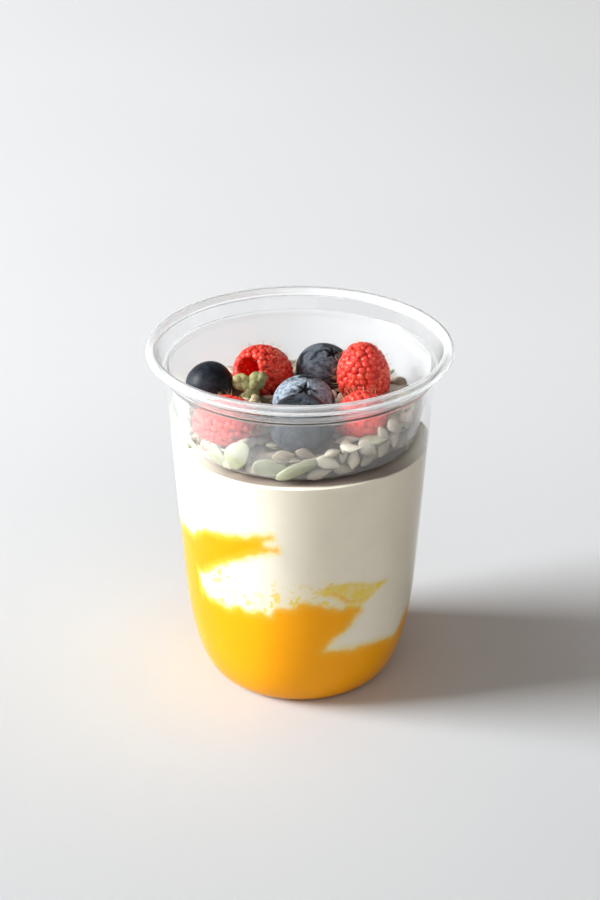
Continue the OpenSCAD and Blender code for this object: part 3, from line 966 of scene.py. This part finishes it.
def makeBerries():
    skinMaterial = makeBlueberryMaterial()
    for seed, node in enumerate(blueberries):
        makeBlueberry(node, skinMaterial, 20 + seed)
    flesh = makeRaspberryMaterial()
    tips = []
    for seed, node in enumerate(raspberries):
        tips += makeRaspberry(node, flesh, 40 + seed)
    makeHairs(tips)
    print("berries done")


# length, width and thickness of each kind, and what shapes it
seedShape = {"pumpkin": (11.0, 6.6, 2.3), "sunflower": (7.6, 3.7, 2.2), "columns": 18, "rows": 17,
             "taper": {"pumpkin": 0.62, "sunflower": 1.05}, "flatness": {"pumpkin": 0.72, "sunflower": 1.0},
             "rim": {"pumpkin": 0.16, "sunflower": 0.0}, "widest": 0.78}
# dark and light colour, roughness and size of the grain
seedFinish = {"pumpkin": ((0.20, 0.205, 0.11, 1), (0.50, 0.485, 0.35, 1), 0.42, 1500.0),
              "sunflower": ((0.30, 0.23, 0.16, 1), (0.78, 0.70, 0.57, 1), 0.45, 1800.0),
              "cluster": ((0.17, 0.16, 0.055, 1), (0.52, 0.50, 0.22, 1), 0.55, 1500.0),
              "crumb": ((0.40, 0.31, 0.15, 1), (0.66, 0.56, 0.34, 1), 0.55, 2000.0),
              "cover": {"Patch Size": 350.0, "Patch Depth": 0.18, "Bump": 0.35}}
heapShape = {"shrink": 1.5, "voxel": 0.7, "floorGap": 0.1, "lumps": 0.33, "fineLumps": 0.18,
             "lumpSize": 0.9, "fineSize": 0.45, "colour": (0.33, 0.27, 0.20, 1), "rough": 0.6,
             "cover": {"Patch Size": 420.0, "Grain Size": 1600.0, "Patch Depth": 0.5, "Bump": 0.6}}


def kernel(kind, length, width, thick, bend):
    # a flat teardrop along x, in millimetres
    s = seedShape
    columns, rows = s["columns"], s["rows"]
    verts, grid = [], []
    for i in range(rows + 1):
        t = i / rows
        x = (t - 0.5) * length
        taper = max(0.0, math.sin(math.pi * t ** s["widest"])) ** s["taper"][kind]
        grid.append(newRow(verts, columns))
        for j in range(columns):
            a = 2 * math.pi * j / columns
            up = math.sin(a)
            y = width / 2 * taper * math.cos(a)
            z = thick / 2 * taper * math.copysign(abs(up) ** s["flatness"][kind], up)
            rim = s["rim"][kind] * thick * smoothStep(0.72, 0.95, abs(math.cos(a)))
            z += math.copysign(rim * taper, up) * 0.5 + bend * ((x / length) ** 2 * 4 - 0.5)
            verts.append((x, y, z))
    return np.array(verts), skin(grid)


def makeSeedHeap():
    # under the loose kernels: the bed's own shape, a little smaller and lumpy
    s = heapShape
    obj = addObject("seed_heap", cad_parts["seed_bed"].data.copy())
    closeMesh(obj, 1e-6)
    applyModifier(obj, "REMESH", mode="VOXEL", voxel_size=s["voxel"] * mm)
    p = getPoints(obj)
    n = np.zeros(len(p) * 3, np.float32)
    obj.data.vertices.foreach_get("normal", n)
    n = n.reshape(-1, 3)
    lumps = s["lumps"] * waves(p / mm, s["lumpSize"], 8, 12)
    lumps += s["fineLumps"] * waves(p / mm, s["fineSize"], 9, 12)
    p -= n * (s["shrink"] - lumps)[:, None] * mm
    p[:, 2] = np.maximum(p[:, 2], (tray["floor"] + s["floorGap"]) * mm)
    setPoints(obj, p)
    mat, tree, shader = newMaterial("seedHeapFood")
    coverUneven(tree, shader, s["colour"], s["cover"], s["rough"])
    finishObject(obj, ["seed_bed"], mat)
    print("seed heap", len(obj.data.polygons), "faces")


def makeSeedMaterial(name, finish):
    dark, light, rough, grain = seedFinish[finish]
    mat, tree, shader = newMaterial(name)
    colour = mixColours(tree, attribute(tree, "tone"), dark, light)
    coverUneven(tree, shader, colour, {"Grain Size": grain, **seedFinish["cover"]}, rough)
    return mat


# kernels that stand against the front of the tray: kind, angle round, height over the tray's floor,
# turn in the wall's plane, lean off the wall, length, share of its kind's width, tone, distance from the wall
frontKernels = [
    ("pumpkin", -31, 6.2, 52, 2, 10.4, 1.25, 0.42, 1.4), ("pumpkin", -14.5, 3.2, 2, 14, 11.6, 0.8, 0.2, 1.6),
    ("pumpkin", 0, 4.0, 26, 4, 16.5, 0.4, 0.45, 1.2), ("sunflower", 13.5, 5.4, -24, 8, 8.4, 1.05, 1.0, 1.3),
    ("sunflower", 9.5, 1.5, 14, 8, 8.4, 0.9, 0.55, 1.4), ("sunflower", 21.5, 7.6, 78, 8, 6.0, 1.0, 0.6, 1.9),
    ("sunflower", 26.5, 5.6, 80, 2, 7.0, 1.1, 0.9, 1.2), ("sunflower", 34, 7.9, -40, 4, 8.2, 1.2, 0.75, 1.4),
    ("sunflower", 22, 2.0, -12, 8, 7.4, 1.0, 0.35, 1.5), ("sunflower", 36, 4.0, 24, 6, 7.8, 1.0, 0.35, 1.5),
    ("sunflower", 45, 6.4, 40, 4, 8.2, 1.0, 0.75, 1.3), ("sunflower", 52, 8.6, 64, 4, 7.8, 1.0, 0.8, 1.3),
    ("sunflower", 60, 5.2, 14, 6, 7.8, 1.0, 0.4, 1.4), ("sunflower", 50, 12.4, -48, 6, 7.8, 1.0, 0.55, 1.7),
    ("sunflower", 62, 12.2, 44, 6, 8.0, 1.0, 0.6, 1.4), ("sunflower", 44, 10.2, -70, 8, 7.0, 1.0, 0.3, 2.4),
    ("pumpkin", -45, 3.4, -24, 6, 10.0, 0.9, 0.4, 1.6), ("sunflower", -54, 5.4, 34, 6, 7.8, 1.0, 0.4, 1.5),
    ("sunflower", -37, 1.8, 8, 6, 7.6, 1.0, 0.4, 1.5), ("sunflower", -62, 3.4, -34, 6, 8, 1.0, 0.4, 1.5),
    ("sunflower", -8, 7.4, 12, 10, 7.4, 1.0, 0.1, 3.0), ("sunflower", 3, 8.0, -20, 10, 7.0, 1.0, 0.1, 3.2),
    ("sunflower", -23, 1.6, 8, 10, 7.2, 1.0, 0.4, 2.2)]


# rows of kernels round the rest of the wall, then kernels over the heap's top
scatter = {"rowHeights": (2.2, 5.0, 7.6, 10.2), "perRow": 30, "firstAngle": 70, "sweep": 222,
           "lowRowOnlyFrom": 258, "wallRadius": 35, "wallPumpkins": 0.3, "wallInset": 1.6,
           "tries": 900, "reach": 37.0, "edge": 38.6, "topPumpkins": 0.36,
           "room": {"pumpkin": 3.4, "sunflower": 2.6}, "lift": 0.15, "berryRoom": 0.6}
# no loose kernels lie on the heap here, in millimetres from the middle and degrees round it
bareZones = [{"from": 24, "angles": (-32, 15)}, {"from": 29, "angles": (-112, -48)}]


def wallPlace(angle, z, inset, turn, lean):
    # a kernel lying against the tray's wall, its length along the wall turned by an angle
    a = math.radians(angle)
    radius = tray["bottomRadius"] + trayShape["taper"] * (z - tray["bottom"]) - trayShape["wall"] - inset
    out = Vector((math.sin(a), -math.cos(a), 0))
    along = Vector((math.cos(a), math.sin(a), 0))
    up = Vector((0, 0, 1))
    basis = Matrix((along, up, out)).transposed().to_4x4()
    place = Matrix.Translation(out * radius * mm + up * z * mm) @ basis
    place = place @ Matrix.Rotation(math.radians(-12 + lean), 4, "X")
    return place @ Matrix.Rotation(math.radians(turn), 4, "Z")


def berryBalls():
    # the space that the toppings take, as middles and half sizes
    balls = []
    for node in list(blueberries) + list(raspberries) + ["seed_cluster"]:
        low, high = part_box(node)
        balls.append(((low + high) / 2, (high - low) / 2))
    return balls


def touchesBerry(place, balls, room):
    return any(sum(((place[k] - c[k]) / (h[k] + room)) ** 2 for k in range(3)) < 1 for c, h in balls)


def isBare(r, front):
    return any(r > zone["from"] and zone["angles"][0] < front < zone["angles"][1] for zone in bareZones)


def scatterSeeds():
    rng = random.Random(5)
    s = scatter
    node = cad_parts["seed_bed"]
    bed = BVHTree.FromPolygons([v.co for v in node.data.vertices], [f.vertices for f in node.data.polygons])
    balls = berryBalls()
    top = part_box("seed_bed")[1].z + 5 * mm
    heaps = {"pumpkin": [[], [], []], "sunflower": [[], [], []]}

    def bedUnder(x, y):
        return bed.ray_cast(Vector((x, y, top)), Vector((0, 0, -1)))

    def put(kind, place, length, tone, wide=1.0):
        full, width, thick = seedShape[kind]
        bend = rng.uniform(-0.5, 0.9)
        width *= wide * length / full * rng.uniform(0.92, 1.08)
        verts, faces = kernel(kind, length, width, thick * rng.uniform(0.9, 1.15), bend)
        matrix = place @ Matrix.Scale(mm, 4)
        addPart(heaps[kind], [matrix @ Vector(v) for v in verts], faces, tone)

    for kind, angle, height, turn, lean, length, wide, tone, inset in frontKernels:
        put(kind, wallPlace(angle, tray["floor"] + height, inset, turn, lean), length, tone, wide)
    for row, height in enumerate(s["rowHeights"]):
        for k in range(s["perRow"]):
            step = k + 0.5 * (row % 2) + rng.uniform(-0.3, 0.3)
            angle = s["firstAngle"] + s["sweep"] * step / s["perRow"]
            z = tray["floor"] + height + rng.uniform(-0.6, 0.6)
            a = math.radians(angle)
            hit = bedUnder(math.sin(a) * s["wallRadius"] * mm, -math.cos(a) * s["wallRadius"] * mm)
            if hit[0] is None or z * mm > hit[0].z - 0.6 * mm or (angle > s["lowRowOnlyFrom"] and row > 0):
                continue
            kind = "pumpkin" if rng.random() < s["wallPumpkins"] else "sunflower"
            place = wallPlace(angle, z, s["wallInset"], rng.uniform(-70, 70), rng.uniform(0, 10))
            put(kind, place, seedShape[kind][0] * rng.uniform(0.88, 1.08), rng.random())
    placed = []
    for _ in range(s["tries"]):
        a, r = rng.uniform(0, 2 * math.pi), s["reach"] * math.sqrt(rng.random())
        hit = bedUnder(r * mm * math.cos(a), r * mm * math.sin(a))
        if hit[0] is None:
            continue
        kind = "pumpkin" if rng.random() < s["topPumpkins"] else "sunflower"
        spot = hit[0] + Vector((0, 0, s["lift"] * mm))
        if isBare(r, math.degrees(math.atan2(spot.x, -spot.y))):
            continue
        if any((spot - other).length < s["room"][kind] * mm for other in placed):
            continue
        if touchesBerry(spot, balls, s["berryRoom"] * mm):
            continue
        placed.append(spot)
        up = (hit[1] + Vector((rng.uniform(-0.35, 0.35), rng.uniform(-0.35, 0.35), 0.6))).normalized()
        turn = up.to_track_quat("Z", "X").to_matrix().to_4x4()
        place = Matrix.Translation(spot) @ turn @ Matrix.Rotation(rng.uniform(0, 6.3), 4, "Z")
        ends = [place @ Vector((side * seedShape[kind][0] * mm, 0, 0)) for side in (-0.5, 0.5)]
        if any(touchesBerry(e, balls, -0.4 * mm) or math.hypot(e.x, e.y) > s["edge"] * mm for e in ends):
            continue
        put(kind, place, seedShape[kind][0] * rng.uniform(0.85, 1.08), rng.random())
    for kind, heap in heaps.items():
        makeMany(kind + "_kernels", heap, (), makeSeedMaterial(kind + "Kernel", kind))


# the cluster of green kernels: middle, half sizes and tone of each lobe and bit, then its crumbs
clusterShape = {
    "lobes": [((-2.8, 0.6, 0.9), (2.8, 2.2, 2.6), 0.95), ((2.1, 0.6, 1.4), (2.8, 2.3, 3.0), 0.35),
              ((0.2, -1.0, -2.4), (2.6, 2.3, 3.0), 0.2)],
    "bits": [((-3.9, -0.4, 2.3), (1.6, 1.3, 1.2), 1.0), ((-1.4, -0.6, 0.2), (1.5, 1.4, 1.9), 0.7),
             ((3.6, -0.2, 2.9), (1.5, 1.2, 1.9), 0.3), ((1.0, -1.2, 0.4), (1.9, 1.4, 2.3), 0.35),
             ((-1.6, -2.0, -2.8), (1.5, 1.2, 1.7), 0.35), ((1.6, -2.2, -3.4), (1.7, 1.3, 1.5), 0.2)],
    "crumbs": [((-1.2, -4.6, -3.2), 1.1, 0.9), ((0.9, -5.2, -2.9), 1.0, 0.75),
               ((-0.2, -5.4, -3.9), 1.3, 0.7), ((2.2, -4.8, -3.7), 0.9, 0.55),
               ((1.4, -4.2, -2.0), 0.8, 0.85), ((-2.6, -4.4, -4.2), 1.0, 0.5)],
    "lobeRough": 0.1, "bitRough": 0.16, "crumbRough": 0.18, "crumbHalf": (1.3, 1.1, 1.1), "rings": 32,
    "columns": 40}


def lump(middle, half, seed, rough):
    rings, columns = clusterShape["rings"], clusterShape["columns"]
    around = np.arange(columns) * 2 * math.pi / columns
    verts, grid = [], []
    for t in np.arange(rings + 1) * math.pi / rings:
        grid.append(newRow(verts, columns))
        ring = [math.sin(t) * np.cos(around), math.sin(t) * np.sin(around), np.full(columns, math.cos(t))]
        verts += list(np.stack(ring, 1))
    p = np.array(verts) * np.array(half)
    size = max(half)
    relief = 0.8 * waves(p, 0.4 * size, seed, 9) + 0.35 * waves(p, 0.12 * size, seed + 1, 11)
    p *= (1 + rough * relief)[:, None]
    return p + np.array(middle), skin(grid)


def makeLumps(name, parts, centre, nodes, material):
    heap = [[], [], []]
    for seed, (middle, half, tone, rough) in enumerate(parts):
        p, faces = lump(middle, half, 70 + 3 * seed, rough)
        addPart(heap, [centre + Vector(v) * mm for v in p], faces, tone)
    makeMany(name, heap, nodes, material)


def makeCluster():
    low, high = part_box("seed_cluster")
    s = clusterShape
    # the cluster's own middle, from the box of its lobes
    own = [(min(m[k] - h[k] for m, h, t in s["lobes"]) + max(m[k] + h[k] for m, h, t in s["lobes"])) / 2
           for k in range(3)]
    centre = (low + high) / 2 - Vector(own) * mm
    parts = [lobe + (s["lobeRough"],) for lobe in s["lobes"]] + [bit + (s["bitRough"],) for bit in s["bits"]]
    green = makeSeedMaterial("clusterKernel", "cluster")
    makeLumps("kernel_cluster", parts, centre, ["seed_cluster"], green)
    crumbs = [(middle, [r * side for side in s["crumbHalf"]], tone, s["crumbRough"])
              for middle, r, tone in s["crumbs"]]
    makeLumps("crumbs", crumbs, centre, (), makeSeedMaterial("crumb", "crumb"))


stageSettings = {"floorColour": (0.975, 0.985, 1.0, 1), "floorSize": 6.0,
                 "floorFrontShade": (-0.18, 0.30, 0.71, 0.95), "floorBackLight": (0.3, 1.0, 0.0, 0.09),
                 "keyWay": (-1.0, -0.07, 0.56), "keyDistance": 2.8, "keySize": (1.2, 1.4),
                 "keyPower": 128.0, "keyColour": (0.96, 1.0, 1.03),
                 "fillWay": (0.15, -1.0, 0.75), "fillDistance": 1.6, "fillSize": (1.4, 1.4),
                 "fillPower": 4.5, "fillColour": (1, 1, 1), "world": (0.165, 0.140, 0.118, 1),
                 "cameraPlace": (0.0, -0.6773, 0.4092), "cameraPitch": 0.457, "lens": 96,
                 "sensor": 36, "clip": (0.01, 20), "lightHeight": 0.05,
                 "floorNoise": (3.0, 2.0), "floorLevel": (0.3, 0.7, 0.97, 1.0), "floorRough": 0.7,
                 "floorSpecular": 0.2}


def makeFloor():
    s = stageSettings
    half = s["floorSize"] / 2
    corners = ((-half, -half), (half, -half), (half, half), (-half, half))
    mesh = bpy.data.meshes.new("floor")
    mesh.from_pydata([(x, y, cadLow.z) for x, y in corners], [], [(0, 1, 2, 3)])
    floor = addObject("floor", mesh)
    mat, tree, shader = newMaterial("paleFloor")
    level = between(tree, noise(tree, *s["floorNoise"]), *s["floorLevel"])
    # painted shade and light: the floor's colour is darker towards the front and lighter far back
    along = alongAxis(tree, "Y")
    away = maths(tree, "ADD", between(tree, along, *s["floorFrontShade"]), between(tree, along, *s["floorBackLight"]))
    colour = shadeColour(tree, s["floorColour"], maths(tree, "MULTIPLY", level, away))
    setInputs(tree, shader, {"Base Color": colour, "Roughness": s["floorRough"],
                             "Specular IOR Level": s["floorSpecular"]})
    mesh.materials.append(mat)


def addAreaLight(name):
    s = stageSettings
    light = bpy.data.lights.new(name, "AREA")
    light.shape = "RECTANGLE"
    light.size, light.size_y = s[name + "Size"]
    light.energy = s[name + "Power"]
    light.color = s[name + "Colour"]
    obj = addObject(name, light)
    toward = Vector(s[name + "Way"]).normalized()
    obj.location = toward * s[name + "Distance"] + Vector((0, 0, s["lightHeight"]))
    obj.rotation_euler = toward.to_track_quat("Z", "Y").to_euler()


def makeStage():
    s = stageSettings
    makeFloor()
    addAreaLight("key")
    addAreaLight("fill")
    world = bpy.data.worlds.new("studio")
    world.use_nodes = True
    world.node_tree.nodes["Background"].inputs["Color"].default_value = s["world"]
    bpy.context.scene.world = world
    camera = bpy.data.cameras.new("camera")
    camera.lens = s["lens"]
    camera.sensor_width = s["sensor"]
    camera.clip_start, camera.clip_end = s["clip"]
    obj = addObject("camera", camera)
    obj.location = s["cameraPlace"]
    obj.rotation_euler = (math.pi / 2 - s["cameraPitch"], 0, 0)
    bpy.context.scene.camera = obj
    bpy.context.scene.view_settings.view_transform = "Standard"
    print("stage done")


makeStage()
makeCup()
makeTray()
makeFoods()
makeBerries()
makeSeedHeap()
scatterSeeds()
makeCluster()
